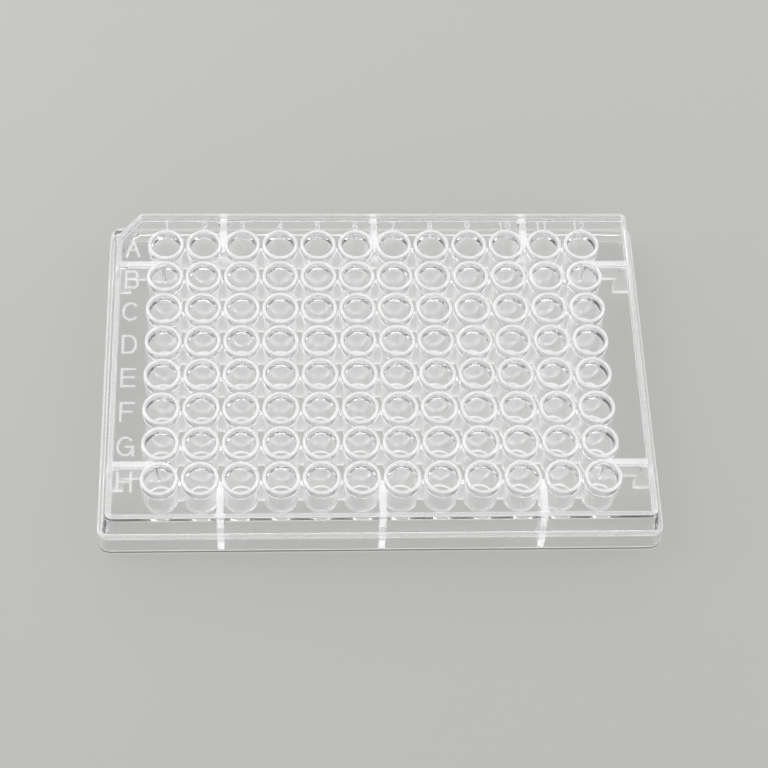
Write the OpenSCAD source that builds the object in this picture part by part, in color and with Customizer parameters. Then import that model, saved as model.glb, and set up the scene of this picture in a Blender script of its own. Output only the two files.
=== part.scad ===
// A 96-well plate moulded as one piece: a skirted base flange, a drafted frame with one cut corner,
// a recessed deck, and twelve columns of eight closed tubes with raised rims.
// Millimetres, Z up, columns along X, row A at +Y, standing on Z = 0 with the centre at the origin.

/* [Footprint] */
// Overall length along the columns
plate_length = 127.76; // [127:0.01:160]
// Overall width along the rows
plate_width = 85.48; // [85:0.01:110]
// Height of the well rims above the bench
plate_height = 14.35; // [13:0.05:20]
// Radius of the four base corners
corner_radius = 3.18; // [2:0.01:6]
// Height of the base flange
flange_height = 6.1; // [4:0.05:7]
// Width of the ledge between the flange's top edge and the frame
flange_ledge = 1.1; // [0.8:0.05:2.5]
// How far the flange leans in from its bottom to its top
flange_draft = 0.45; // [0.1:0.05:0.8]
// Bevel round the top of the flange
flange_bevel = 0.4; // [0.1:0.05:0.7]
// Wall of the flange
flange_wall = 1.3; // [0.8:0.05:2]

/* [Frame and deck] */
// Top of the frame below the rims
frame_drop = 0.75; // [0.2:0.05:1.5]
// Deck surface below the rims
deck_drop = 1.85; // [1:0.05:3]
// Thickness of the deck
deck_thickness = 1.1; // [0.8:0.05:1.8]
// Width of the lip round the recessed deck
lip_width = 1.05; // [0.6:0.05:1.4]
// Wall of the frame below the deck
frame_wall = 1; // [0.8:0.05:2]
// How far the long sides of the frame lean out from the top to the flange
side_draft = 0.15; // [0.05:0.05:1]
// How far the two ends of the frame lean out from the top to the flange
end_draft = 1.25; // [0.05:0.05:2]
// Outside radius of the three plain frame corners
frame_radius = 1.4; // [0.8:0.05:3]
// Length of the cut corner beside well A1
cut_length = 5.4; // [3:0.1:8]
// Width of the cut corner beside well A1
cut_width = 6.6; // [3:0.1:8]

/* [Wells] */
// Number of columns
columns = 12; // [6:2:12]
// Number of rows
rows = 8; // [4:2:8]
// Distance from well to well
pitch = 9; // [8.9:0.05:9.2]
// Inside radius of a well at its mouth
mouth_radius = 3.43; // [2.6:0.01:3.55]
// Inside radius of a well at its floor
floor_radius = 3.18; // [2.4:0.01:3.4]
// Depth of a well from its rim
well_depth = 9.95; // [6:0.05:10.7]
// Thickness of the well floor
well_floor = 1.1; // [0.6:0.05:2]
// Outside radius of a rim
rim_radius = 4.2; // [4.05:0.01:4.35]
// Outside radius of a tube just under the deck
tube_radius = 3.95; // [3.8:0.01:4]
// How much thinner in radius a tube is at its foot
tube_taper = 0.2; // [0:0.01:0.3]
// Bevel round the mouth
mouth_bevel = 0.15; // [0.05:0.01:0.3]

/* [Webs and ribs] */
// Thickness of the webs that join the wells of a row
web_thickness = 1; // [0.6:0.05:1.6]
// Gap between the bench and the webs
web_clearance = 3.7; // [2:0.1:6]
// Thickness of a rib at the deck
rib_thickness = 1.55; // [1.4:0.05:2]
// Thickness of a rib at the bench
rib_foot = 1.45; // [1.2:0.05:1.8]
// How far the ribs stand above the deck
rib_proud = 0.25; // [0.1:0.05:0.6]
// Length of the deep end of a rib, from the inside of the flange
rib_step = 4.2; // [2:0.1:6]
// Gap between the bench and the ribs
rib_clearance = 0.4; // [0.2:0.05:2]
// Width of the pad where a rib meets the frame
pad_width = 2.4; // [2:0.1:4]
// Length of the pad where a rib meets the frame
pad_length = 1.5; // [1:0.1:3]

/* [Index marks] */
// Height of the row letters
letter_height = 5.2; // [3:0.1:6]
// Width of the row letters
letter_width = 3.5; // [2:0.1:4]
// Width of the round letters C and G
round_width = 4.1; // [2:0.1:4.5]
// Stroke of the row letters
letter_stroke = 0.65; // [0.3:0.05:0.8]
// Height of the column numerals
numeral_height = 2.4; // [1.6:0.1:3]
// Width of one numeral
numeral_width = 1.3; // [0.9:0.05:1.6]
// Stroke of the numerals
numeral_stroke = 0.32; // [0.2:0.02:0.45]
// How far the marks stand above the deck
mark_proud = 0.3; // [0.1:0.05:0.5]

/* [Hidden] */
$fn = 48;
eps = 0.01;
half_length = plate_length / 2;
half_width = plate_width / 2;
top_z = plate_height;
frame_top = plate_height - frame_drop;
deck_top = plate_height - deck_drop;
deck_under = deck_top - deck_thickness;
ledge_under = flange_height - 1.2;
foot_x = half_length - flange_draft - flange_ledge;
foot_y = half_width - flange_draft - flange_ledge;
lip_x = foot_x - end_draft;
lip_y = foot_y - side_draft;
lean_share = (deck_under - flange_height) / (frame_top - flange_height);
skirt_x = half_length - flange_wall;
skirt_y = half_width - flange_wall;
floor_z = plate_height - well_depth;
tube_foot = floor_z - well_floor;
first_x = -(columns - 1) / 2 * pitch;
first_y = (rows - 1) / 2 * pitch;
side_rib_y = (rows / 2 - 1) * pitch;
end_rib_x = (columns / 2 - 2) * pitch;
root = 0.4;
body_colour = [0.86, 0.9, 0.93, 0.35];

// Rectangle with rounded corners
module plain_outline(x, y, r) {
    square([2 * (x - r), 2 * y], center = true);
    square([2 * x, 2 * (y - r)], center = true);
    for (sx = [-1, 1], sy = [-1, 1])
        translate([sx * (x - r), sy * (y - r)])
            circle(r);
}

// The same outline with the corner beside well A1 cut off
module cut_outline(x, y, r, inset) {
    along = cut_length - inset * 0.55;
    across = cut_width - inset * 0.55;
    difference() {
        plain_outline(x, y, r);
        translate([-x, y])
            polygon([[-5, 5], [-5, -across - 5 * across / along], [along + 5 * along / across, 5]]);
    }
}

module cut_slab(x, y, r, inset, z) {
    translate([0, 0, z])
        linear_extrude(eps)
            cut_outline(x, y, r, inset);
}

// Solid of the leaning frame, before it is hollowed
module frame_block() {
    hull() {
        cut_slab(foot_x, foot_y, frame_radius, 0, flange_height - 0.5);
        cut_slab(lip_x, lip_y, frame_radius, 0, frame_top - eps);
    }
}

// Room under the deck
module frame_cavity() {
    inner_radius = max(frame_radius - frame_wall, 0.5);
    top_x = foot_x - end_draft * lean_share - frame_wall;
    top_y = foot_y - side_draft * lean_share - frame_wall;
    hull() {
        cut_slab(foot_x - frame_wall, foot_y - frame_wall, inner_radius, frame_wall, ledge_under - 1);
        cut_slab(top_x, top_y, inner_radius, frame_wall, deck_under - eps);
    }
}

// Thin slab of the footprint, drawn in by the given inset at height z
module base_slab(inset, z) {
    translate([0, 0, z])
        linear_extrude(eps)
            plain_outline(half_length - inset, half_width - inset, max(corner_radius - inset, 0.5));
}

module base_block() {
    hull() {
        base_slab(0, 0);
        base_slab(flange_draft, flange_height - flange_bevel);
        base_slab(flange_draft + flange_bevel, flange_height - eps);
    }
}

// Room inside the flange, with the same lean as the outside
module base_cavity() {
    hull() {
        base_slab(flange_wall - flange_draft / flange_height, -1);
        base_slab(flange_wall + flange_draft * ledge_under / flange_height, ledge_under - eps);
    }
}

module deck_recess() {
    translate([0, 0, deck_top])
        linear_extrude(plate_height)
            cut_outline(lip_x - lip_width, lip_y - lip_width, max(frame_radius - lip_width, 0.6), lip_width);
}

module tubes() {
    reach = deck_top - root;
    for (c = [0 : columns - 1], r = [0 : rows - 1])
        translate([first_x + c * pitch, first_y - r * pitch, 0])
            rotate_extrude()
                polygon([
                    [0, tube_foot],
                    [tube_radius - tube_taper, tube_foot],
                    [tube_radius, reach],
                    [rim_radius, reach],
                    [rim_radius, top_z],
                    [0, top_z]
                ]);
}

module bores() {
    for (c = [0 : columns - 1], r = [0 : rows - 1])
        translate([first_x + c * pitch, first_y - r * pitch, 0])
            rotate_extrude()
                polygon([
                    [0, floor_z],
                    [floor_radius, floor_z],
                    [mouth_radius, top_z - mouth_bevel],
                    [mouth_radius + mouth_bevel, top_z],
                    [mouth_radius + mouth_bevel, top_z + 1],
                    [0, top_z + 1]
                ]);
}

module row_webs() {
    tall = deck_top - root - web_clearance;
    for (r = [0 : rows - 1])
        translate([0, first_y - r * pitch, web_clearance + tall / 2])
            cube([(columns - 1) * pitch, web_thickness, tall], center = true);
}

// One rib along +X: shallow beside the wells, deep beside the flange, ending inside the leaning wall
module rib(inner, wall_x, wall_foot, flange_x) {
    rib_top = deck_top + rib_proud;
    deep_x = flange_x - rib_step;
    out_x = flange_x + flange_wall * 0.4;
    up_x = wall_x - frame_wall * 0.5;
    low_x = wall_foot - frame_wall * 0.5;
    intersection() {
        rotate([90, 0, 0])
            translate([0, 0, -5])
                linear_extrude(10)
                    polygon([
                        [inner, flange_height],
                        [deep_x, flange_height],
                        [deep_x, rib_clearance],
                        [out_x, rib_clearance],
                        [out_x, flange_height - 0.6],
                        [low_x, flange_height - 0.6],
                        [up_x, rib_top],
                        [inner, rib_top]
                    ]);
        rotate([90, 0, 90])
            linear_extrude(out_x + 5)
                polygon([
                    [-rib_foot / 2, 0],
                    [rib_foot / 2, 0],
                    [rib_thickness / 2, rib_top + eps],
                    [-rib_thickness / 2, rib_top + eps]
                ]);
    }
}

// Pad that thickens a rib where it meets the frame
module pad(wall_x, wall_foot) {
    pad_top = deck_top - root;
    near_x = wall_x - frame_wall - pad_length;
    far_x = (wall_x + wall_foot - frame_wall) / 2;
    translate([near_x, 0, 0])
        rotate([90, 0, 90])
            linear_extrude(far_x - near_x)
                polygon([
                    [-rib_foot / 2 + 0.1, flange_height + 0.2],
                    [rib_foot / 2 - 0.1, flange_height + 0.2],
                    [pad_width / 2, pad_top],
                    [-pad_width / 2, pad_top]
                ]);
}

module ribs() {
    for (y = [-side_rib_y, side_rib_y], turn = [0, 180])
        translate([0, y, 0])
            rotate([0, 0, turn]) {
                rib(-first_x, lip_x, foot_x, skirt_x);
                pad(lip_x, foot_x);
            }
    for (x = [-end_rib_x, 0, end_rib_x], turn = [90, 270])
        translate([x, 0, 0])
            rotate([0, 0, turn]) {
                rib(first_y, lip_y, foot_y, skirt_y);
                pad(lip_y, foot_y);
            }
}

// Strokes for the marks, drawn in a box of width w and height h around the origin
module stroke(x1, y1, x2, y2, s) {
    long = sqrt((x2 - x1) * (x2 - x1) + (y2 - y1) * (y2 - y1));
    translate([(x1 + x2) / 2, (y1 + y2) / 2])
        rotate(atan2(y2 - y1, x2 - x1))
            square([long + s, s], center = true);
}

module ring(x, y, r, s) {
    translate([x, y])
        difference() {
            circle(r + s / 2);
            circle(r - s / 2);
        }
}

// The part of a ring on one side of a line through its centre
module half_ring(x, y, r, s, turn) {
    intersection() {
        ring(x, y, r, s);
        translate([x, y])
            rotate(turn)
                translate([0, -2 * r])
                    square([4 * r, 4 * r]);
    }
}

module letter(n, w, h, s) {
    a = w / 2;
    b = h / 2;
    q = a * 0.95;
    if (n == 0) {
        stroke(-a, -b, 0, b, s);
        stroke(a, -b, 0, b, s);
        stroke(-a * 0.6, -b * 0.25, a * 0.6, -b * 0.25, s);
    }
    if (n == 1) {
        stroke(-a, -b, -a, b, s);
        for (y = [-b, 0, b])
            stroke(-a, y, a - b / 2, y, s);
        half_ring(a - b / 2, b / 2, b / 2, s, 0);
        half_ring(a - b / 2, -b / 2, b / 2, s, 0);
    }
    if (n == 2 || n == 6) {
        half_ring(0, b - q, q, s, 90);
        half_ring(0, q - b, q, s, 270);
        stroke(-q, q - b, -q, b - q, s);
        if (n == 6) {
            stroke(q, q - b, q, -b * 0.05, s);
            stroke(q * 0.2, -b * 0.05, q, -b * 0.05, s);
            stroke(q, -b, q, q - b, s);
        }
    }
    if (n == 3) {
        stroke(-a, -b, -a, b, s);
        stroke(-a, b, a - q, b, s);
        stroke(-a, -b, a - q, -b, s);
        stroke(a, q - b, a, b - q, s);
        intersection() {
            half_ring(a - q, b - q, q, s, 0);
            translate([a - q - s, b - q])
                square([3 * q, 3 * q]);
        }
        intersection() {
            half_ring(a - q, q - b, q, s, 0);
            translate([a - q - s, q - b - 3 * q])
                square([3 * q, 3 * q]);
        }
    }
    if (n == 4 || n == 5) {
        stroke(-a, -b, -a, b, s);
        stroke(-a, b, a, b, s);
        stroke(-a, 0, a * 0.8, 0, s);
        if (n == 4)
            stroke(-a, -b, a, -b, s);
    }
    if (n == 7) {
        stroke(-a, -b, -a, b, s);
        stroke(a, -b, a, b, s);
        stroke(-a, 0, a, 0, s);
    }
}

module digit(n, w, h, s) {
    a = w / 2 - s / 2;
    b = h / 2 - s / 2;
    if (n == 0) {
        half_ring(0, b - a, a, s, 90);
        half_ring(0, a - b, a, s, 270);
        stroke(-a, a - b, -a, b - a, s);
        stroke(a, a - b, a, b - a, s);
    }
    if (n == 1) {
        stroke(0, -b, 0, b, s);
        stroke(0, b, -a, b - a * 0.8, s);
    }
    if (n == 2) {
        half_ring(0, b - a, a, s, 90);
        stroke(a, b - a, -a, -b, s);
        stroke(-a, -b, a, -b, s);
    }
    if (n == 3) {
        half_ring(0, b / 2, b / 2, s, 0);
        half_ring(0, -b / 2, b / 2, s, 0);
        for (y = [-b, 0, b])
            stroke(-a, y, 0, y, s);
    }
    if (n == 4) {
        stroke(a * 0.5, -b, a * 0.5, b, s);
        stroke(-a, -b * 0.4, a, -b * 0.4, s);
        stroke(-a, -b * 0.4, a * 0.5, b, s);
    }
    if (n == 5) {
        stroke(-a, b, a, b, s);
        stroke(-a, 0, -a, b, s);
        stroke(-a, 0, a - b / 2, 0, s);
        stroke(-a, -b, a - b / 2, -b, s);
        half_ring(a - b / 2, -b / 2, b / 2, s, 0);
    }
    if (n == 6 || n == 9)
        rotate(n == 9 ? 180 : 0) {
            ring(0, a - b, a, s);
            stroke(-a, a - b, a * 0.4, b, s);
        }
    if (n == 7) {
        stroke(-a, b, a, b, s);
        stroke(a, b, -a * 0.4, -b, s);
    }
    if (n == 8) {
        ring(0, b / 2, b / 2, s);
        ring(0, -b / 2, b / 2, s);
    }
}

module marks() {
    letter_x = (first_x - rim_radius - lip_x + lip_width) / 2 - 0.45;
    numeral_y = (first_y + rim_radius + lip_y - lip_width) / 2 + 0.1;
    translate([0, 0, deck_top - root])
        linear_extrude(root + mark_proud) {
            for (r = [0 : rows - 1]) {
                wide = (r == 2 || r == 6) ? round_width : letter_width;
                translate([letter_x, first_y - r * pitch])
                    letter(r, wide - letter_stroke, letter_height - letter_stroke, letter_stroke);
            }
            for (c = [0 : columns - 1])
                translate([first_x + c * pitch, numeral_y]) {
                    tens = c > 8 ? 1 : 0;
                    if (tens > 0)
                        translate([-numeral_width * 0.65, 0])
                            digit(1, numeral_width, numeral_height, numeral_stroke);
                    translate([tens * numeral_width * 0.65, 0])
                        digit((c + 1) % 10, numeral_width, numeral_height, numeral_stroke);
                }
        }
}

module well_plate() {
    color(body_colour)
        difference() {
            union() {
                difference() {
                    union() {
                        base_block();
                        frame_block();
                    }
                    base_cavity();
                    frame_cavity();
                    deck_recess();
                }
                row_webs();
                tubes();
                ribs();
                marks();
            }
            bores();
        }
}

well_plate();
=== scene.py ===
import math
import bpy
import bmesh
from mathutils import Matrix, Vector
from mathutils.geometry import delaunay_2d_cdt


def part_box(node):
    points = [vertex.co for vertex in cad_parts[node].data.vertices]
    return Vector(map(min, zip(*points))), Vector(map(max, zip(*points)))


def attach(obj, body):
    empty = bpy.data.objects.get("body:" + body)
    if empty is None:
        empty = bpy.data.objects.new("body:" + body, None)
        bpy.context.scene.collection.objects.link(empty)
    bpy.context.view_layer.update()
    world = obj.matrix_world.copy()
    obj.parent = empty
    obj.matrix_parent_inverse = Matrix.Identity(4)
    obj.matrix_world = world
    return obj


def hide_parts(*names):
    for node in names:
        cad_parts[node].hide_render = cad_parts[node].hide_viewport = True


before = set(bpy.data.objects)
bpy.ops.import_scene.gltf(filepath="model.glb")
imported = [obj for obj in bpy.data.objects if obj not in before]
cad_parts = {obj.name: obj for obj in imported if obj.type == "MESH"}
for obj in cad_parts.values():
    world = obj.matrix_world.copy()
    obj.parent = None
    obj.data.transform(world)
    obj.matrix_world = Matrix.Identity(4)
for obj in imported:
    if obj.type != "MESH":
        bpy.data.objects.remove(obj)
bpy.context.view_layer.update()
print("frame loaded")

mm = 0.001
cornerSteps = 9  # points along each corner of an outline, less one
cutSteps = 4  # the same for the two small corners of the cut
roundSteps = 3  # and for the roundings of edges


def linearColour(hexCode):
    # sRGB hex to the linear values that the shaders take
    parts = [int(hexCode[i:i + 2], 16) / 255 for i in (1, 3, 5)]
    return [p / 12.92 if p <= 0.04045 else ((p + 0.055) / 1.055) ** 2.4 for p in parts] + [1.0]


def addNode(tree, kind, settings=None, links=None):
    # a node with its properties and input values set, and its inputs linked from other sockets
    node = tree.nodes.new(kind)
    for name, value in (settings or {}).items():
        if isinstance(name, int) or name in node.inputs:
            node.inputs[name].default_value = value
        else:
            setattr(node, name, value)
    for name, source in (links or {}).items():
        for one in source if isinstance(source, list) else [source]:
            tree.links.new(one, node.inputs[name])
    return node


# the moulding's sizes in millimetres, as in the part's source

lowCorner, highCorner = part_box("well_plate")
overall = [(highCorner[i] - lowCorner[i]) / mm for i in range(3)]

plateFrame = {
    "cornerRadius": 3.18,
    "flangeHeight": 6.1,
    "flangeLedge": 1.1,
    "flangeDraft": 0.45,
    "flangeWall": 1.3,
    "flangeRoof": 1.2,
    "frameDrop": 0.75,
    "deckDrop": 1.85,
    "deckThickness": 1.1,
    "lipWidth": 1.05,
    "frameWall": 1.0,
    "sideDraft": 0.15,
    "endDraft": 1.25,
    "frameRadius": 1.4,
    "cutLength": 5.4,
    "cutWidth": 6.6,
    "cutRadius": 1.2,
    "cutSlide": 0.57,  # how far the ends of the cut move when the outline shrinks by 1
    "leastRadius": 0.5,  # of the flange and of the cut
    "leastFrameRadius": 0.55,
    "footRound": ((0.15, 0), (0.04, 0.06), (0, 0.18)),  # inset and height
    "flangeRound": 0.5,
    "edgeRound": 0.28,
    "insideRound": 0.25,
    "lipRound": 0.22,
}
wells = {
    "columns": 12,
    "rows": 8,
    "pitch": 9.0,
    "mouthRadius": 3.43,
    "floorRadius": 3.18,
    "depth": 9.95,
    "floor": 1.1,
    "rimRadius": 4.2,
    "tubeRadius": 3.95,
    "tubeTaper": 0.2,
    "footFlat": 3.2,
    "footEnd": (0.02, -0.1),  # outwards from the foot, and above the floor of the well
    "cornerRound": 0.3,
    "deckRound": 0.3,
    "deckRoundDrop": 0.28,
    "deckRoundSweep": (180, 110),  # degrees
    "insideDeck": (0.1, 0.35),  # outwards from the rim, and deep in the deck
    "collar": ((0.2, -0.02), (0.06, 0.05), (0, 0.2)),  # outwards from the rim, and above the deck
    "rimRound": 0.22,
    "sides": 40,
}
topZ = overall[2]
frameTop = topZ - plateFrame["frameDrop"]
deckTop = topZ - plateFrame["deckDrop"]
deckUnder = deckTop - plateFrame["deckThickness"]
halfX, halfY = overall[0] / 2, overall[1] / 2
footX, footY = [half - plateFrame["flangeDraft"] - plateFrame["flangeLedge"] for half in (halfX, halfY)]
lipX, lipY = footX - plateFrame["endDraft"], footY - plateFrame["sideDraft"]


def bow(cx, cy, rx, ry, start, end, steps=12):
    # points along part of an ellipse, angles in degrees
    turns = [math.radians(start + (end - start) * k / steps) for k in range(steps + 1)]
    return [(cx + rx * math.cos(t), cy + ry * math.sin(t)) for t in turns]


def arcPoints(cx, cy, radius, start, end, steps=roundSteps):
    return bow(cx, cy, radius, radius, start, end, steps)


def plainCorner(sx, sy, hx, hy, radius, start):
    return arcPoints(sx * (hx - radius), sy * (hy - radius), radius, start, start + 90, cornerSteps)


def cutCorner(hx, hy, along, across, radius):
    # the corner at -x +y: two small rounded corners joined by a straight cut
    corner = Vector((-hx + along, hy)), Vector((-hx, hy - across))
    slope = (corner[1] - corner[0]).normalized()
    points = []
    for at, before, after in ((corner[0], Vector((1, 0)), slope), (corner[1], -slope, Vector((0, -1)))):
        half = before.angle(after) / 2
        reach = radius / math.tan(half)
        centre = at + (before + after).normalized() * (radius / math.sin(half))
        first, last = at + before * reach, at + after * reach
        a0 = math.atan2(first.y - centre.y, first.x - centre.x)
        a1 = math.atan2(last.y - centre.y, last.x - centre.x)
        turn = (a1 - a0 + math.pi) % (2 * math.pi) - math.pi
        for k in range(cutSteps + 1):
            a = a0 + turn * k / cutSteps
            points.append((centre.x + radius * math.cos(a), centre.y + radius * math.sin(a)))
    return points


def flangeRing(inset, z):
    # inset is measured from the outside of the leaning flange at z
    drawn = inset + plateFrame["flangeDraft"] * z / plateFrame["flangeHeight"]
    hx, hy, r = halfX - drawn, halfY - drawn, max(plateFrame["cornerRadius"] - drawn, plateFrame["leastRadius"])
    flat = plainCorner(1, 1, hx, hy, r, 0) + plainCorner(-1, 1, hx, hy, r, 90)
    flat += plainCorner(-1, -1, hx, hy, r, 180) + plainCorner(1, -1, hx, hy, r, 270)
    return [(x, y, z) for x, y in flat]


def frameRing(inset, z, leanZ=None):
    # inset is measured from the outside of the leaning wall at leanZ
    foot = plateFrame["flangeHeight"]
    share = min(max(((z if leanZ is None else leanZ) - foot) / (frameTop - foot), 0), 1)
    hx = footX - plateFrame["endDraft"] * share - inset
    hy = footY - plateFrame["sideDraft"] * share - inset
    r = max(plateFrame["frameRadius"] - inset, plateFrame["leastFrameRadius"])
    slide = inset * plateFrame["cutSlide"]
    along, across = plateFrame["cutLength"] - slide, plateFrame["cutWidth"] - slide
    cutRadius = max(plateFrame["cutRadius"] - inset, plateFrame["leastRadius"])
    flat = plainCorner(1, 1, hx, hy, r, 0) + cutCorner(hx, hy, along, across, cutRadius)
    flat += plainCorner(-1, -1, hx, hy, r, 180) + plainCorner(1, -1, hx, hy, r, 270)
    return [(x, y, z) for x, y in flat]


def meshObject(name, points, faces):
    mesh = bpy.data.meshes.new(name)
    mesh.from_pydata([(x * mm, y * mm, z * mm) for x, y, z in points], [], faces)
    work = bmesh.new()
    work.from_mesh(mesh)
    bmesh.ops.recalc_face_normals(work, faces=work.faces)
    work.to_mesh(mesh)
    work.free()
    piece = bpy.data.objects.new(name, mesh)
    bpy.context.scene.collection.objects.link(piece)
    return piece


def stackedRings(name, rings):
    # a closed solid through rings of the same number of points, lowest first
    count = len(rings[0])
    points = [p for ring in rings for p in ring]
    faces = [list(range(count))[::-1], [len(points) - count + k for k in range(count)]]
    for level in range(len(rings) - 1):
        for k in range(count):
            a, b = level * count + k, level * count + (k + 1) % count
            faces.append([a, b, b + count, a + count])
    return meshObject(name, points, faces)


def turnedSolid(name, profile, sides):
    # a closed solid turned about Z from (radius, height) pairs that start and end on the axis
    points = [(0, 0, profile[0][1])]
    faces = []
    for radius, z in profile[1:-1]:
        for k in range(sides):
            a = 2 * math.pi * k / sides
            points.append((radius * math.cos(a), radius * math.sin(a), z))
    points.append((0, 0, profile[-1][1]))
    rows = len(profile) - 2
    for k in range(sides):
        nextK = (k + 1) % sides
        faces.append([0, 1 + nextK, 1 + k])
        for row in range(rows - 1):
            a, b = 1 + row * sides + k, 1 + row * sides + nextK
            faces.append([a, b, b + sides, a + sides])
        faces.append([1 + (rows - 1) * sides + k, 1 + (rows - 1) * sides + nextK, len(points) - 1])
    return meshObject(name, points, faces)


# frame, flange and deck as one block and two hollows

def roundTurns(steps=roundSteps):
    # sine and cosine along a quarter turn
    turns = [math.radians(90 * k / steps) for k in range(steps + 1)]
    return [(math.sin(a), math.cos(a)) for a in turns]


def buildBlock():
    e, f, top = plateFrame["edgeRound"], plateFrame["insideRound"], plateFrame["flangeRound"]
    ledgeZ, wallTop = plateFrame["flangeHeight"], frameTop - plateFrame["edgeRound"]
    rings = [flangeRing(inset, z) for inset, z in plateFrame["footRound"]]
    rings += [flangeRing(top - top * cos, ledgeZ - top + top * sin) for sin, cos in roundTurns(roundSteps + 1)]
    rings += [frameRing(-f + f * sin, ledgeZ + f - f * cos, ledgeZ) for sin, cos in roundTurns()]
    rings += [frameRing(e - e * cos, frameTop - e + e * sin, wallTop) for sin, cos in roundTurns()]
    return stackedRings("frameBlock", rings)


def buildUnderside():
    f, wall, inner = plateFrame["insideRound"], plateFrame["flangeWall"], plateFrame["frameWall"]
    roofZ = plateFrame["flangeHeight"] - plateFrame["flangeRoof"]
    splay, rise = plateFrame["footRound"][0][0], plateFrame["footRound"][-1][1]
    rings = [flangeRing(wall - splay, -1), flangeRing(wall - splay, 0), flangeRing(wall, rise)]
    rings += [flangeRing(wall + f - f * cos, roofZ - f + f * sin) for sin, cos in roundTurns()]
    rings += [frameRing(inner - f + f * sin, roofZ + f - f * cos, roofZ + f) for sin, cos in roundTurns()]
    rings += [frameRing(inner + f - f * cos, deckUnder - f + f * sin, deckUnder) for sin, cos in roundTurns()]
    return stackedRings("undersideRoom", rings)


def buildRecess():
    f, lip = plateFrame["lipRound"], plateFrame["lipWidth"]
    rings = [frameRing(lip + f - f * sin, deckTop + f - f * cos, frameTop) for sin, cos in roundTurns()]
    rings += [frameRing(lip - f + f * cos, frameTop - f + f * sin, frameTop) for sin, cos in roundTurns()]
    rings.append(frameRing(lip - f, topZ + 1, frameTop))
    return stackedRings("deckRecess", rings)


# the wells

firstX = -(wells["columns"] - 1) / 2 * wells["pitch"]
firstY = (wells["rows"] - 1) / 2 * wells["pitch"]
floorZ = topZ - wells["depth"]
footZ = floorZ - wells["floor"]


def buildTube():
    foot, tube, rim = wells["tubeRadius"] - wells["tubeTaper"], wells["tubeRadius"], wells["rimRadius"]
    corner, fillet, bevel = wells["cornerRound"], wells["deckRound"], wells["rimRound"]
    (out, deep), (outFoot, upFoot) = wells["insideDeck"], wells["footEnd"]
    profile = [(0, footZ), (wells["footFlat"], footZ)]
    profile += arcPoints(foot - corner, footZ + corner, corner, -90, 0)
    profile.append((foot + outFoot, floorZ + upFoot))
    profile += arcPoints(tube + fillet, deckUnder - wells["deckRoundDrop"], fillet, *wells["deckRoundSweep"], 2)
    profile += [(rim + out, deckUnder + deep), (rim + out, deckTop - deep)]
    profile += [(rim + outwards, deckTop + up) for outwards, up in wells["collar"]]
    profile += arcPoints(rim - bevel, topZ - bevel, bevel, 0, 90)
    return turnedSolid("tubeSource", profile + [(0, topZ)], wells["sides"])


def buildBore():
    low, high = wells["floorRadius"], wells["mouthRadius"]
    corner, bevel = wells["cornerRound"], wells["rimRound"]
    profile = [(0, floorZ)] + arcPoints(low - corner, floorZ + corner, corner, -90, 0)
    profile += arcPoints(high + bevel, topZ - bevel, bevel, 180, 90)
    profile += [(high + bevel, topZ + 1), (0, topZ + 1)]
    return turnedSolid("boreSource", profile, wells["sides"])


# webs and ribs

ribs = {
    "webThickness": 1.0,
    "webGap": 3.7,
    "thickness": 1.55,
    "footThickness": 1.45,
    "proud": 0.25,
    "step": 4.2,
    "gap": 0.4,
    "padWidth": 2.4,
    "padLength": 1.5,
    "padTaper": 0.1,
    "padFoot": 0.2,  # above the ledge
    "buried": 0.4,  # how far the tops of webs and pads run into the deck
    "skirtBite": 0.5,  # how far a rib runs into the skirt
    "ledgeBite": 0.6,  # and into the ledge
    "ribRound": 0.12,
    "padRound": 0.1,
    "webRound": 0.15,
    "sideRow": 3,
    "endColumn": 4,
}


def roundedSolid(name, points, faces, width):
    piece = meshObject(name, points, faces)
    work = bmesh.new()
    work.from_mesh(piece.data)
    bmesh.ops.bevel(work, geom=work.edges, offset=width * mm, segments=2, profile=0.5, affect="EDGES")
    work.to_mesh(piece.data)
    work.free()
    return piece


def prism(outline, thicknessAt):
    # an upright plate from (x, z) corners, its half thickness given at each height
    count = len(outline)
    points = [(x, -thicknessAt(z), z) for x, z in outline] + [(x, thicknessAt(z), z) for x, z in outline]
    faces = [list(range(count)), list(range(count, 2 * count))[::-1]]
    faces += [[k, (k + 1) % count, (k + 1) % count + count, k + count] for k in range(count)]
    return points, faces


def joined(name, parts):
    # several bevelled solids that don't touch, as one object
    work = bmesh.new()
    for part in parts:
        work.from_mesh(part.data)
    mesh = bpy.data.meshes.new(name)
    work.to_mesh(mesh)
    work.free()
    for part in parts:
        bpy.data.objects.remove(part)
    piece = bpy.data.objects.new(name, mesh)
    bpy.context.scene.collection.objects.link(piece)
    return piece


def turnedAbout(piece, degrees, x, y):
    turn = Matrix.Rotation(math.radians(degrees), 4, "Z")
    piece.data.transform(Matrix.Translation((x * mm, y * mm, 0)) @ turn)
    return piece


def ribPlaces():
    # each rib points from the wells to the frame
    # turn, x, y, where it starts, the wall's top and foot, the inside of the skirt
    sideY, endX = ribs["sideRow"] * wells["pitch"], ribs["endColumn"] * wells["pitch"]
    alongX = (-firstX, lipX, footX, halfX - plateFrame["flangeWall"])
    alongY = (firstY, lipY, footY, halfY - plateFrame["flangeWall"])
    for y in (-sideY, sideY):
        yield (0, 0, y) + alongX
        yield (180, 0, y) + alongX
    for x in (-endX, 0, endX):
        yield (90, x, 0) + alongY
        yield (270, x, 0) + alongY


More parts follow.
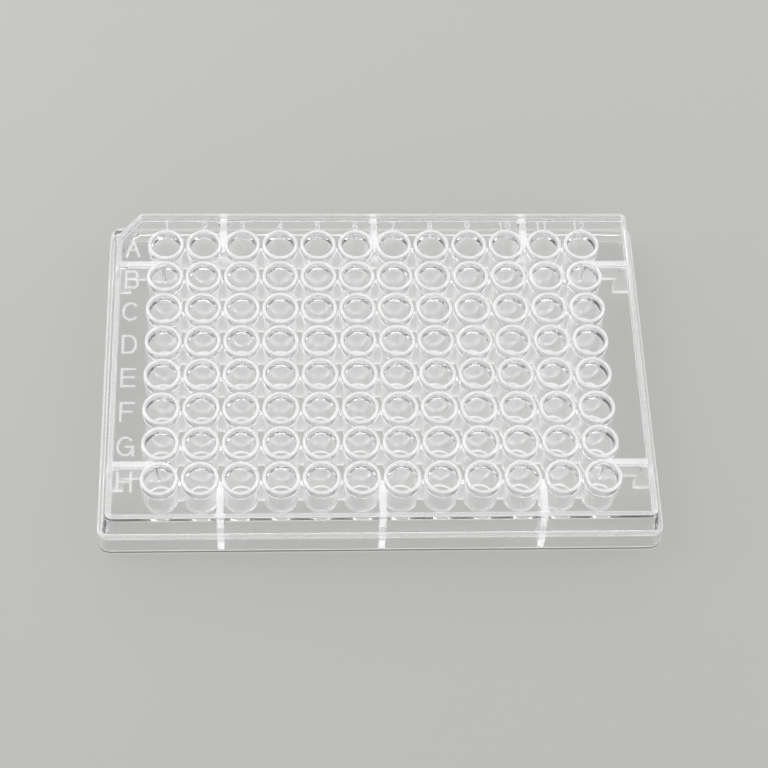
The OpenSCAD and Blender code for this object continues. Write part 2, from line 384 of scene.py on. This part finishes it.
def buildRibs():
    made = []
    topHeight, ledge, gap = deckTop + ribs["proud"], plateFrame["flangeHeight"], ribs["gap"]
    middle, under = plateFrame["frameWall"] / 2, plateFrame["flangeHeight"] - ribs["ledgeBite"]
    slope = (ribs["thickness"] - ribs["footThickness"]) / 2 / topHeight
    for turn, x, y, inner, wallAt, wallFoot, skirtAt in ribPlaces():
        deep, out = skirtAt - ribs["step"], skirtAt + ribs["skirtBite"]
        outline = [(inner, ledge), (deep, ledge), (deep, gap), (out, gap), (out, under)]
        outline += [(wallFoot - middle, under), (wallAt - middle, topHeight), (inner, topHeight)]
        points, faces = prism(outline, lambda z: ribs["footThickness"] / 2 + slope * z)
        made.append(turnedAbout(roundedSolid("rib", points, faces, ribs["ribRound"]), turn, x, y))
    return joined("ribSet", made)


def buildPads():
    made = []
    low, high = plateFrame["flangeHeight"] + ribs["padFoot"], deckTop - ribs["buried"]
    narrow, wide = ribs["footThickness"] / 2 - ribs["padTaper"], ribs["padWidth"] / 2
    for turn, x, y, inner, wallAt, wallFoot, skirtAt in ribPlaces():
        near = wallAt - plateFrame["frameWall"] - ribs["padLength"]
        far = (wallAt + wallFoot - plateFrame["frameWall"]) / 2
        outline = [(near, low), (far, low), (far, high), (near, high)]
        points, faces = prism(outline, lambda z: narrow + (wide - narrow) * (z - low) / (high - low))
        made.append(turnedAbout(roundedSolid("pad", points, faces, ribs["padRound"]), turn, x, y))
    return joined("padSet", made)


def buildWebs():
    made = []
    low, high = ribs["webGap"], deckTop - ribs["buried"]
    outline = [(firstX, low), (-firstX, low), (-firstX, high), (firstX, high)]
    points, faces = prism(outline, lambda z: ribs["webThickness"] / 2)
    for row in range(wells["rows"]):
        web = roundedSolid("web", points, faces, ribs["webRound"])
        made.append(turnedAbout(web, 0, 0, firstY - row * wells["pitch"]))
    return joined("webSet", made)


# raised letters and numerals

marks = {
    "letterHeight": 5.2,
    "letterWidths": {"A": 3.6, "B": 3.4, "C": 4.1, "D": 3.6, "E": 3.5, "F": 3.4, "G": 4.1, "H": 3.6},
    "letterStroke": 0.65,
    "numeralHeight": 2.5,
    "numeralWidth": 1.35,
    "numeralStroke": 0.34,
    "numeralStep": 1.7,
    "letterShift": -0.45,  # from the middle between the wells and the lip
    "numeralShift": 0.1,
    "proud": 0.3,
    "buried": 0.3,
    "lean": 0.05,  # the sides of a raised mark slope in a little
    "leastMitre": 0.35,
}


# strokes on a box two units wide and two tall
glyphs = {
    "A": [[(-1, -1), (0, 1), (1, -1)], [(-0.62, -0.25), (0.62, -0.25)]],
    "B": [[(-1, 0.04), (-1, 1)] + bow(0.35, 0.52, 0.58, 0.48, 90, -90) + [(-1, 0.04)],
          [(-1, -1), (-1, 0.04)] + bow(0.35, -0.48, 0.65, 0.52, 90, -90) + [(-1, -1)]],
    "C": [bow(0, 0, 1, 1, 48, 312, 22)],
    "D": [[(-1, -1), (-1, 1)] + bow(0, 0, 1, 1, 90, -90, 16) + [(-1, -1)]],
    "E": [[(1, 1), (-1, 1), (-1, -1), (1, -1)], [(-1, 0.04), (0.8, 0.04)]],
    "F": [[(1, 1), (-1, 1), (-1, -1)], [(-1, 0), (0.75, 0)]],
    "G": [bow(0, 0, 1, 1, 48, 325, 22) + [(1, -0.05), (0.15, -0.05)], [(1, -0.4), (1, -1)]],
    "H": [[(-1, -1), (-1, 1)], [(1, -1), (1, 1)], [(-1, 0.02), (1, 0.02)]],
    "0": [bow(0, 0, 1, 1, 90, 450, 20)],
    "1": [[(-0.5, 0.6), (0.1, 1), (0.1, -1)]],
    "2": [bow(0, 0.4, 0.9, 0.6, 165, -30, 12) + [(-1, -1), (1, -1)]],
    "3": [bow(-0.05, 0.5, 0.85, 0.5, 155, -90, 12), bow(-0.05, -0.5, 0.95, 0.5, 90, -155, 12)],
    "4": [[(0.45, -1), (0.45, 1)], [(0.45, 1), (-1, -0.4), (1, -0.4)]],
    "5": [[(0.85, 1), (-0.75, 1), (-0.85, 0)], bow(-0.02, -0.35, 0.95, 0.65, 140, -150, 14)],
    "6": [[(0.8, 0.95)] + bow(0.15, 0, 1.1, 0.98, 115, 200, 8), bow(0, -0.42, 0.95, 0.58, 0, 360, 16)],
    "7": [[(-1, 1), (1, 1), (-0.3, -1)]],
    "8": [bow(0, 0.5, 0.8, 0.5, -90, 270, 18), bow(0, -0.5, 0.95, 0.52, 90, 450, 18)],
    "9": [[(-0.8, -0.95)] + bow(-0.15, 0, 1.1, 0.98, 295, 380, 8), bow(0, 0.42, 0.95, 0.58, 0, 360, 16)],
}


def strokeSolid(path, width, low, high):
    # a raised line of constant width along a path, with its corners mitred
    closed = (Vector(path[0]) - Vector(path[-1])).length < 1e-6
    line = [Vector(p) for p in (path[:-1] if closed else path)]
    count = len(line)
    left, right = [], []
    for k, at in enumerate(line):
        before = line[k - 1] if k or closed else None
        after = line[(k + 1) % count] if k < count - 1 or closed else None
        steps = [(at - before).normalized() if before is not None else None,
                 (after - at).normalized() if after is not None else None]
        a = steps[0] or steps[1]
        b = steps[1] or steps[0]
        across = Vector((-a.y - b.y, a.x + b.x)).normalized()
        reach = width / 2 / max(across.dot(Vector((-b.y, b.x))), marks["leastMitre"])
        tail = Vector((0, 0))
        if before is None:
            tail = -b * width / 2
        if after is None:
            tail = a * width / 2
        left.append(at + tail + across * reach)
        right.append(at + tail - across * reach)
    points, faces = [], []
    for l, r in zip(left, right):
        side = (l - r).normalized() * marks["lean"]
        points += [(l.x, l.y, low), (l.x - side.x, l.y - side.y, high)]
        points += [(r.x + side.x, r.y + side.y, high), (r.x, r.y, low)]
    spans = count if closed else count - 1
    for k in range(spans):
        a, b = 4 * k, 4 * ((k + 1) % count)
        for j in range(4):
            faces.append([a + j, a + (j + 1) % 4, b + (j + 1) % 4, b + j])
    if not closed:
        faces += [[0, 3, 2, 1], [4 * (count - 1) + j for j in range(4)]]
    return points, faces


def buildMarks():
    # one object for each stroke in turn, because the strokes of one mark meet
    low, high = deckTop - marks["buried"], deckTop + marks["proud"]
    layers = [[], [], []]
    letterX = (firstX - wells["rimRadius"] - lipX + plateFrame["lipWidth"]) / 2 + marks["letterShift"]
    numeralY = (firstY + wells["rimRadius"] + lipY - plateFrame["lipWidth"]) / 2 + marks["numeralShift"]

    def place(sign, x, y, width, height, stroke):
        # width and height are taken over the outside of the strokes
        wide, tall = (width - stroke) / 2, (height - stroke) / 2
        for number, path in enumerate(glyphs[sign]):
            scaled = [(x + px * wide, y + py * tall) for px, py in path]
            layers[number].append(meshObject("mark", *strokeSolid(scaled, stroke, low, high)))

    for row in range(wells["rows"]):
        sign = "ABCDEFGH"[row]
        place(sign, letterX, firstY - row * wells["pitch"], marks["letterWidths"][sign],
              marks["letterHeight"], marks["letterStroke"])
    for column in range(wells["columns"]):
        text = str(column + 1)
        for k, sign in enumerate(text):
            x = firstX + column * wells["pitch"] + (k - (len(text) - 1) / 2) * marks["numeralStep"]
            place(sign, x, numeralY, marks["numeralWidth"], marks["numeralHeight"], marks["numeralStroke"])
    return [joined("markLayer%d" % k, layer) for k, layer in enumerate(layers)]


# the whole moulding put together by one Geometry Nodes tree

def buildMoulding(material):
    sources = {
        "Underside": buildUnderside(),
        "Recess": buildRecess(),
        "Webs": buildWebs(),
        "Ribs": buildRibs(),
        "Pads": buildPads(),
        "Tube": buildTube(),
        "Bore": buildBore(),
    }
    for k, layer in enumerate(buildMarks()):
        sources["Marks %d" % (k + 1)] = layer
    print("moulding blanks made")

    tree = bpy.data.node_groups.new("mouldedPlate", "GeometryNodeTree")
    tree.interface.new_socket(name="Block", in_out="INPUT", socket_type="NodeSocketGeometry")
    socketIds = {}

    def addInput(name, kind):
        socketIds[name] = tree.interface.new_socket(name=name, in_out="INPUT", socket_type=kind).identifier

    for name in sources:
        addInput(name, "NodeSocketObject")
    for name, kind in (("Columns", "Int"), ("Rows", "Int"), ("Pitch", "Float"), ("Plastic", "Material")):
        addInput(name, "NodeSocket" + kind)
    tree.interface.new_socket(name="Moulding", in_out="OUTPUT", socket_type="NodeSocketGeometry")

    given = addNode(tree, "NodeGroupInput").outputs
    shape = {name: addNode(tree, "GeometryNodeObjectInfo", {"transform_space": "ORIGINAL"},
                           {"Object": given[name]}).outputs["Geometry"] for name in sources}

    # one point for each well: the grid is a pitch shorter than its count of wells
    onePitch = addNode(tree, "ShaderNodeMath", {"operation": "MULTIPLY", 1: -1.0}, {0: given["Pitch"]})
    spanX, spanY = [addNode(tree, "ShaderNodeMath", {"operation": "MULTIPLY_ADD"},
                            {0: given[count], 1: given["Pitch"], 2: onePitch.outputs[0]})
                    for count in ("Columns", "Rows")]
    grid = addNode(tree, "GeometryNodeMeshGrid", {}, {
        "Size X": spanX.outputs[0], "Size Y": spanY.outputs[0],
        "Vertices X": given["Columns"], "Vertices Y": given["Rows"]})

    def repeated(source):
        placed = addNode(tree, "GeometryNodeInstanceOnPoints", {},
                         {"Points": grid.outputs["Mesh"], "Instance": source})
        real = addNode(tree, "GeometryNodeRealizeInstances", {}, {"Geometry": placed.outputs["Instances"]})
        return real.outputs[0]

    def cutFrom(body, tool):
        return addNode(tree, "GeometryNodeMeshBoolean", {"operation": "DIFFERENCE", "solver": "MANIFOLD"},
                       {"Mesh 1": body, "Mesh 2": tool}).outputs["Mesh"]

    def fused(body, tool):
        return addNode(tree, "GeometryNodeMeshBoolean", {"operation": "UNION", "solver": "MANIFOLD"},
                       {"Mesh 2": [body, tool]}).outputs["Mesh"]

    body = cutFrom(given["Block"], shape["Underside"])
    body = cutFrom(body, shape["Recess"])
    for name in sources:
        if name in ("Webs", "Ribs", "Pads") or name.startswith("Marks"):
            body = fused(body, shape[name])
    body = fused(body, repeated(shape["Tube"]))
    body = cutFrom(body, repeated(shape["Bore"]))
    real = addNode(tree, "GeometryNodeRealizeInstances", {}, {"Geometry": body}).outputs[0]
    done = addNode(tree, "GeometryNodeSetMaterial", {}, {"Geometry": real, "Material": given["Plastic"]})
    addNode(tree, "NodeGroupOutput", {}, {0: done.outputs[0]})

    block = buildBlock()
    modifier = block.modifiers.new("moulding", "NODES")
    modifier.node_group = tree
    for name, source in sources.items():
        modifier[socketIds[name]] = source
    modifier[socketIds["Columns"]] = wells["columns"]
    modifier[socketIds["Rows"]] = wells["rows"]
    modifier[socketIds["Pitch"]] = wells["pitch"] * mm
    modifier[socketIds["Plastic"]] = material
    made = bpy.data.meshes.new_from_object(block.evaluated_get(bpy.context.evaluated_depsgraph_get()))
    for old in [block] + list(sources.values()):
        bpy.data.objects.remove(old)
    return made


cleaning = {
    "weld": 2e-6,  # m
    "shortestEdge": 1e-6,  # m
    "onEdge": 2e-7,  # m, how near a corner counts as on an edge
    "inPlane": 1e-7,  # mm
    "thinnest": 1e-4,  # area of a face over its longest edge squared
    "sharpAngle": 40,  # degrees
}


def splitFlatFace(work, face):
    # a flat face with holes becomes clean triangles
    # its rim and its holes are kept, and the bridges between them are not
    corners = list(face.verts)
    normal = face.normal.copy()
    turn = normal.to_track_quat("Z", "Y").inverted()
    used = {}
    for a, b in zip(corners, corners[1:] + corners[:1]):
        pair = tuple(sorted((a.index, b.index)))
        used[pair] = used.get(pair, 0) + 1
    numbers = sorted({v.index for v in corners})
    place = {number: k for k, number in enumerate(numbers)}
    flat = [(turn @ work.verts[number].co / mm).to_2d() for number in numbers]
    rim = [(place[a], place[b]) for (a, b), times in used.items() if times == 1]
    found, _, triangles, origins, _, _ = delaunay_2d_cdt(flat, rim, [], 0, cleaning["inPlane"])
    if len(found) != len(flat) or any(not origin for origin in origins):
        return False
    keep = []
    for triangle in triangles:
        x, y = sum((found[k] for k in triangle), Vector((0, 0))) / 3
        crossings = 0
        for a, b in rim:
            (ax, ay), (bx, by) = flat[a], flat[b]
            if (ay > y) != (by > y) and x < (bx - ax) * (y - ay) / (by - ay) + ax:
                crossings += 1
        if crossings % 2:
            keep.append([work.verts[numbers[origins[k][0]]] for k in triangle])
    bridges = [e for e in face.edges if used[tuple(sorted((e.verts[0].index, e.verts[1].index)))] > 1]
    material = face.material_index
    work.faces.remove(face)
    for edge in set(bridges):
        work.edges.remove(edge)
    for triangle in keep:
        made = work.faces.new(triangle)
        made.material_index = material
        made.normal_update()
        if made.normal.dot(normal) < 0:
            made.normal_flip()
    return True


def joinedRims(work):
    # where one face has a long edge and its neighbours have short ones, the long edge gets their corners
    ends = {v for e in work.edges if len(e.link_faces) != 2 for v in e.verts}
    for edge in [e for e in work.edges if len(e.link_faces) == 1]:
        first, last = edge.verts
        span = last.co - first.co
        between = []
        for vertex in ends - {first, last}:
            share = (vertex.co - first.co).dot(span) / span.length_squared
            if 0 < share < 1 and (first.co + span * share - vertex.co).length < cleaning["onEdge"]:
                between.append((share, vertex.co.copy()))
        for share, place in sorted(between, key=lambda pair: pair[0]):
            rest = (place - first.co).length / (last.co - first.co).length
            added = bmesh.utils.edge_split(edge, first, rest)[1]
            added.co = place
            ends.add(added)
            first = added
            edge = next(e for e in added.link_edges if last in e.verts)
    bmesh.ops.remove_doubles(work, verts=list(ends), dist=cleaning["onEdge"])


frostAndPaintedGlow = {  # share of each face drawn milky white: partly a spark-eroded finish instead of polished, partly painted glow that stands in for light piped through the clear plastic to rims, edges, ribs and marks
    "rim": 1.0,
    "collar": 0.4,
    "tube": 0.33,
    "tubeFoot": 1.0,
    "floorCorner": 0.8,
    "rib": 0.22,
    "ribEdge": 0.55,
    "lip": 0.55,
    "marks": 0.8,
    "ledge": 0.65,
    "bottomEdge": 1.0,
}
frostAndGlowBand = {  # how far these frosted and painted-glow bands reach, in millimetres
    "aboveDeck": 0.03,
    "rim": 0.16,
    "aroundRim": 0.1,
    "collarInside": 3.9,
    "floorCorner": (2.8, 3.4),
    "floorCornerHeight": (-0.02, 0.32),
    "footInside": 3.3,
    "tubeInside": 3.6,
    "lip": 0.35,
    "ribSide": 0.15,
    "ribEnd": 0.05,
    "ribEdge": 0.14,
    "ledgeMiddle": 0.2,
    "ledge": 0.35,
    "ledgeInside": 0.3,
    "bottomEdge": 0.25,
    "web": 0.6,
    "webFoot": 0.1,
}


def onRib(x, y, z):
    # whether a point in millimetres is in the strip of a rib, between the wells and the wall behind it
    reach = ribs["thickness"] / 2 + frostAndGlowBand["ribSide"]
    sideY, endX = ribs["sideRow"] * wells["pitch"], ribs["endColumn"] * wells["pitch"]
    wall = plateFrame["flangeDraft"] + plateFrame["flangeLedge"] + plateFrame["frameWall"]
    if z < plateFrame["flangeHeight"] - plateFrame["flangeRoof"]:
        wall = plateFrame["flangeWall"]
    wall += frostAndGlowBand["ribEnd"]
    sideRib = abs(abs(y) - sideY) < reach and -firstX < abs(x) < halfX - wall
    endRib = min(abs(abs(x) - endX), abs(x)) < reach and firstY < abs(y) < halfY - wall
    return sideRib or endRib


def wellShare(z, fromWell):
    # the frosted share and painted glow of a tube or its bore, by height and by distance from the well's axis
    low, high = [floorZ + height for height in frostAndGlowBand["floorCornerHeight"]]
    inside, outside = frostAndGlowBand["floorCorner"]
    if z > topZ - frostAndGlowBand["rim"]:
        return frostAndPaintedGlow["rim"]
    if z > deckTop + frostAndGlowBand["aboveDeck"]:
        return frostAndPaintedGlow["collar"] if fromWell > frostAndGlowBand["collarInside"] else 0
    if low < z < high and inside < fromWell < outside:
        return frostAndPaintedGlow["floorCorner"]
    if z < floorZ and fromWell > frostAndGlowBand["footInside"]:
        return frostAndPaintedGlow["tubeFoot"]
    return frostAndPaintedGlow["tube"] if z < deckUnder and fromWell > frostAndGlowBand["tubeInside"] else 0


def frostAndGlowShare(x, y, z):
    # which surface of the moulding a point in millimetres is on, and so its share of frost and painted glow
    pitch, ledgeZ = wells["pitch"], plateFrame["flangeHeight"]
    acrossX, acrossY = [(at / pitch % 1 - 0.5) * pitch for at in (x, y)]
    fromWell = math.hypot(acrossX, acrossY)
    amongWells = abs(x) < -firstX + pitch / 2 and abs(y) < firstY + pitch / 2
    if amongWells and fromWell < wells["rimRadius"] + frostAndGlowBand["aroundRim"]:
        return wellShare(z, fromWell)
    if z > frameTop - frostAndGlowBand["lip"]:
        return frostAndPaintedGlow["lip"]
    if z > deckTop + frostAndGlowBand["aboveDeck"]:
        return frostAndPaintedGlow["marks"]
    if onRib(x, y, z):
        fromSkirt = min(halfX - abs(x), halfY - abs(y)) - plateFrame["flangeWall"]
        fromEdge = min(abs(z - ribs["gap"]), abs(z - ledgeZ), abs(fromSkirt - ribs["step"]))
        return frostAndPaintedGlow["ribEdge"] if fromEdge < frostAndGlowBand["ribEdge"] else frostAndPaintedGlow["rib"]
    outside = abs(x) > footX - frostAndGlowBand["ledgeInside"] or abs(y) > footY - frostAndGlowBand["ledgeInside"]
    if outside and abs(z - ledgeZ + frostAndGlowBand["ledgeMiddle"]) < frostAndGlowBand["ledge"]:
        return frostAndPaintedGlow["ledge"]
    if z < frostAndGlowBand["bottomEdge"]:
        return frostAndPaintedGlow["bottomEdge"]
    onWeb = abs(acrossY) < frostAndGlowBand["web"] and ribs["webGap"] - frostAndGlowBand["webFoot"] < z < deckUnder
    return frostAndPaintedGlow["tube"] if amongWells and onWeb else 0


def finishedPiece(name, mesh):
    work = bmesh.new()
    work.from_mesh(mesh)
    bmesh.ops.remove_doubles(work, verts=work.verts, dist=cleaning["weld"])
    bmesh.ops.dissolve_degenerate(work, dist=cleaning["shortestEdge"], edges=work.edges)
    work.verts.index_update()
    work.verts.ensure_lookup_table()
    flat = [face for face in work.faces if len(face.verts) > 4]
    print("flat faces split:", sum(splitFlatFace(work, face) for face in flat), "of", len(flat))
    joinedRims(work)
    loose = {face for edge in work.edges if len(edge.link_faces) != 2 for face in edge.link_faces}
    longest = {face: max(edge.calc_length() for edge in face.edges) for face in loose}
    thin = [face for face in loose if face.calc_area() < cleaning["thinnest"] * longest[face] ** 2]
    bmesh.ops.delete(work, geom=thin, context="FACES_ONLY")
    bmesh.ops.delete(work, geom=[edge for edge in work.edges if not edge.link_faces], context="EDGES")
    bmesh.ops.delete(work, geom=[v for v in work.verts if not v.link_edges], context="VERTS")
    for face in work.faces:
        face.smooth = True
    sharpTurn = math.radians(cleaning["sharpAngle"])
    for edge in work.edges:
        edge.smooth = len(edge.link_faces) == 2 and edge.calc_face_angle(0) < sharpTurn
    openEdges = sum(1 for edge in work.edges if len(edge.link_faces) != 2)
    work.to_mesh(mesh)
    work.free()
    # the milky white share of each face, eroded frost and painted glow, goes to the shader as a face attribute
    frostAndGlowLayer = mesh.attributes.new("frostAndPaintedGlow", "FLOAT", "FACE")
    frostAndGlowLayer.data.foreach_set("value", [frostAndGlowShare(*(face.center / mm)) for face in mesh.polygons])
    piece = bpy.data.objects.new(name, mesh)
    bpy.context.scene.collection.objects.link(piece)
    weighted = piece.modifiers.new("flatFacesKeepTheirNormals", "WEIGHTED_NORMAL")
    weighted.mode = "FACE_AREA"
    weighted.keep_sharp = True
    weighted.weight = 50
    mesh.calc_loop_triangles()
    print("moulding has", len(mesh.loop_triangles), "triangles,", openEdges, "open edges")
    return piece


# the plastic

clearPlastic = {
    "tint": "#fefefe",
    "ior": 1.59,
    "roughness": 0.03,
    "wave": 9.0,  # mm between the slow swells that the flow leaves
    "waveDetail": 1.0,
    "waveStrength": 0.02,
    "waveHeight": 0.3,  # mm
    "shadowTint": "#fefefe",
    "haze": "#ffffff",
    "hazeRoughness": 0.45,
    "polishedHaze": 0.03,  # share of light that the polished faces scatter
    "frostAndGlowHaze": 0.8,  # the same for faces drawn milky white, partly spark-eroded, partly painted glow
    "satinGrain": 0.25,  # mm, the eroded grain, drawn a little coarser than it is
    "grainDetail": 2.0,
    "grainContrast": (0.3, 0.7),
    "grainSpread": (0.8, 1.2),
}


def makeClearPolystyrene():
    # injection-moulded polystyrene: water clear and glossy off polished steel, with the faint swell of the
    # flow, and milky white where the steel is spark-eroded and where glow is painted in, so that rims, marks
    # and edges stand out as if lit by light piped through the plastic
    material = bpy.data.materials.new("clear_polystyrene_moulded")
    material.use_nodes = True
    tree = material.node_tree
    tree.nodes.clear()
    settings = clearPlastic
    place = addNode(tree, "ShaderNodeTexCoord")

    def noise(grainSize, detail):
        return addNode(tree, "ShaderNodeTexNoise", {"Scale": 1 / (grainSize * mm), "Detail": detail},
                       {"Vector": place.outputs["Object"]}).outputs["Fac"]

    bump = addNode(tree, "ShaderNodeBump",
                   {"Strength": settings["waveStrength"], "Distance": settings["waveHeight"] * mm},
                   {"Height": noise(settings["wave"], settings["waveDetail"])})
    polished = addNode(tree, "ShaderNodeBsdfPrincipled", {
        "Base Color": linearColour(settings["tint"]), "Roughness": settings["roughness"],
        "IOR": settings["ior"], "Transmission Weight": 1.0}, {"Normal": bump.outputs["Normal"]})
    # the attribute on each face says how much of it is drawn milky white, as eroded frost and as painted glow,
    # and the grain breaks it up
    frostAndGlowInput = addNode(tree, "ShaderNodeAttribute", {"attribute_name": "frostAndPaintedGlow"})
    grain = addNode(tree, "ShaderNodeMapRange", {
        "From Min": settings["grainContrast"][0], "From Max": settings["grainContrast"][1],
        "To Min": settings["grainSpread"][0], "To Max": settings["grainSpread"][1]},
        {"Value": noise(settings["satinGrain"], settings["grainDetail"])})
    share = addNode(tree, "ShaderNodeMath", {"operation": "MULTIPLY"},
                    {0: frostAndGlowInput.outputs["Fac"], 1: grain.outputs["Result"]})
    haze = addNode(tree, "ShaderNodeMapRange", {
        "To Min": settings["polishedHaze"], "To Max": settings["frostAndGlowHaze"]}, {"Value": share.outputs[0]})
    milkyAndGlow = addNode(tree, "ShaderNodeBsdfPrincipled", {
        "Base Color": linearColour(settings["haze"]), "Roughness": settings["hazeRoughness"],
        "IOR": settings["ior"]})
    surface = addNode(tree, "ShaderNodeMixShader", {}, {
        0: haze.outputs["Result"], 1: polished.outputs[0], 2: milkyAndGlow.outputs[0]})
    # lamps shine through, so that the plate throws the pale shadow of clear plastic
    lampLight = addNode(tree, "ShaderNodeBsdfTransparent", {"Color": linearColour(settings["shadowTint"])})
    path = addNode(tree, "ShaderNodeLightPath")
    mixed = addNode(tree, "ShaderNodeMixShader", {}, {
        0: path.outputs["Is Shadow Ray"], 1: surface.outputs[0], 2: lampLight.outputs[0]})
    addNode(tree, "ShaderNodeOutputMaterial", {}, {"Surface": mixed.outputs[0]})
    return material


plasticMaterial = makeClearPolystyrene()
plateMesh = buildMoulding(plasticMaterial)
plate = finishedPiece("well_plate_moulding", plateMesh)
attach(plate, "root")
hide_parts("well_plate")
print("moulding finished")

# floor, light and camera

studio = {
    "floor": "#c8c8c6",
    "floorRadius": 0.6,  # m, inside the ring of lamps
    "floorSides": 60,
    "floorRoughness": 0.7,
    "floorShine": 0.2,
    "world": "#e7e7e6",
    "worldStrength": 0.14,
    "backdropStrength": 0.7,  # the same world as the viewer and the plastic see it
    "lampsAim": (0, 0, 0.01),  # m
    "lightPaths": 32,
}
lamps = {  # place in metres, size in metres, power in watts
    "softboxLeft": ((-0.55, 0.15, 0.5), (0.5, 0.7), 3.1),
    "softboxRight": ((0.6, 0.1, 0.45), (0.4, 0.7), 1.7),
    "softboxBack": ((0.0, 0.75, 0.45), (1.0, 0.35), 2.4),
    "stripLeft": ((-0.7, 0.1, 0.12), (0.9, 0.2), 1.1),
    "stripRight": ((0.7, 0.1, 0.12), (0.9, 0.2), 1.1),
    "stripBack": ((0.0, 0.8, 0.12), (1.3, 0.2), 1.1),
    "softboxFront": ((0.15, -0.8, 0.25), (1.0, 0.25), 3.8),
}
camera = {
    "stand": (-23.3767, -246.9061, 411.9054),  # mm
    "pitch": 1.0263,  # radians, as are the next two
    "yaw": 0.1016,
    "roll": 0.083,
    "lens": 95.411,  # mm
    "sensor": 36,
    "nearest": 0.01,  # m
}


def makeFloor():
    sides = studio["floorSides"]
    rim = arcPoints(0, 0, studio["floorRadius"] / mm, 0, 360 - 360 / sides, sides - 1)
    floor = meshObject("floor", [(x, y, 0) for x, y in rim], [list(range(len(rim)))])
    material = bpy.data.materials.new("matt_paint_floor")
    material.use_nodes = True
    shader = material.node_tree.nodes["Principled BSDF"]
    shader.inputs["Base Color"].default_value = linearColour(studio["floor"])
    shader.inputs["Roughness"].default_value = studio["floorRoughness"]
    shader.inputs["Specular IOR Level"].default_value = studio["floorShine"]
    floor.data.materials.append(material)


def makeLamp(name, place, size, power):
    data = bpy.data.lights.new(name, "AREA")
    data.shape = "RECTANGLE"
    data.size, data.size_y = size
    data.energy = power
    lamp = bpy.data.objects.new(name, data)
    lamp.location = place
    lamp.rotation_euler = (Vector(studio["lampsAim"]) - Vector(place)).to_track_quat("-Z", "Y").to_euler()
    bpy.context.scene.collection.objects.link(lamp)


def makeCamera():
    pitch, yaw, roll = camera["pitch"], camera["yaw"], camera["roll"]
    ahead = Vector((math.sin(yaw) * math.cos(pitch), math.cos(yaw) * math.cos(pitch), -math.sin(pitch)))
    side = Vector((math.cos(yaw), -math.sin(yaw), 0))
    up = side.cross(ahead)
    right = side * math.cos(roll) + up * math.sin(roll)
    top = up * math.cos(roll) - side * math.sin(roll)
    data = bpy.data.cameras.new("camera")
    data.sensor_width = camera["sensor"]
    data.lens = camera["lens"]
    data.clip_start = camera["nearest"]
    made = bpy.data.objects.new("camera", data)
    turn = Matrix((right, top, -ahead)).transposed().to_4x4()
    made.matrix_world = Matrix.Translation(Vector(camera["stand"]) * mm) @ turn
    bpy.context.scene.collection.objects.link(made)
    bpy.context.scene.camera = made


def makeWorld():
    # a dim world lights the plate, and the viewer and the clear plastic see a pale one
    world = bpy.data.worlds.new("studioWorld")
    world.use_nodes = True
    tree = world.node_tree
    tree.nodes.clear()
    colour = linearColour(studio["world"])
    lighting = addNode(tree, "ShaderNodeBackground", {"Color": colour, "Strength": studio["worldStrength"]})
    shown = addNode(tree, "ShaderNodeBackground", {"Color": colour, "Strength": studio["backdropStrength"]})
    path = addNode(tree, "ShaderNodeLightPath")
    direct = addNode(tree, "ShaderNodeMath", {"operation": "MAXIMUM"},
                     {0: path.outputs["Is Camera Ray"], 1: path.outputs["Is Glossy Ray"]})
    seen = addNode(tree, "ShaderNodeMath", {"operation": "MAXIMUM"},
                   {0: direct.outputs[0], 1: path.outputs["Is Transmission Ray"]})
    mixed = addNode(tree, "ShaderNodeMixShader", {}, {
        0: seen.outputs[0], 1: lighting.outputs[0], 2: shown.outputs[0]})
    addNode(tree, "ShaderNodeOutputWorld", {}, {"Surface": mixed.outputs[0]})
    return world


makeFloor()
for name, (place, size, power) in lamps.items():
    makeLamp(name, place, size, power)
makeCamera()

scene = bpy.context.scene
scene.world = makeWorld()
scene.view_settings.view_transform = "Standard"
scene.cycles.max_bounces = studio["lightPaths"]
scene.cycles.transmission_bounces = studio["lightPaths"]
scene.cycles.transparent_max_bounces = studio["lightPaths"]
scene.cycles.caustics_refractive = False  # the shadow already lets the lamps through once
print("studio set")
